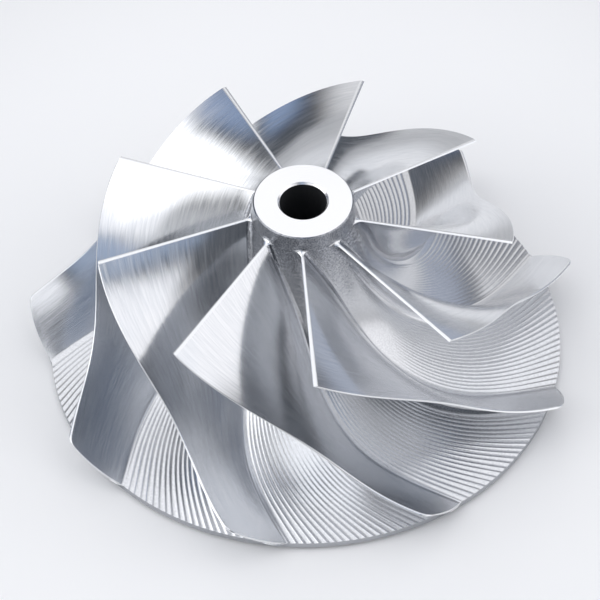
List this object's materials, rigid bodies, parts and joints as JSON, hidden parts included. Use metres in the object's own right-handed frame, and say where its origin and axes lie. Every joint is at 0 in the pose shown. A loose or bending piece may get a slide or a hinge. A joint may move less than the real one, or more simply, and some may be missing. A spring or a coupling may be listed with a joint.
{
  "type": "compressor wheel",
  "caption": "Turbocharger compressor wheel with swept-back blades on a curved hub, extended blade tips, a flat back and a through bore for the shaft.",
  "frame": {"origin": "on the axis of the bore, in the plane of the raised seat at the back", "axes": "+Z along the bore from the seat at the back to the nose; +X lies near the leading tip of one blade"},
  "size_m": [0.0728, 0.0725, 0.029],
  "materials": {
    "milled_aluminium": "bare milled and turned aluminium with fine cutter rows on the hub"
  },
  "bodies": {
    "root": {"compressor_wheel": "milled_aluminium"}
  },
  "joints": []
}
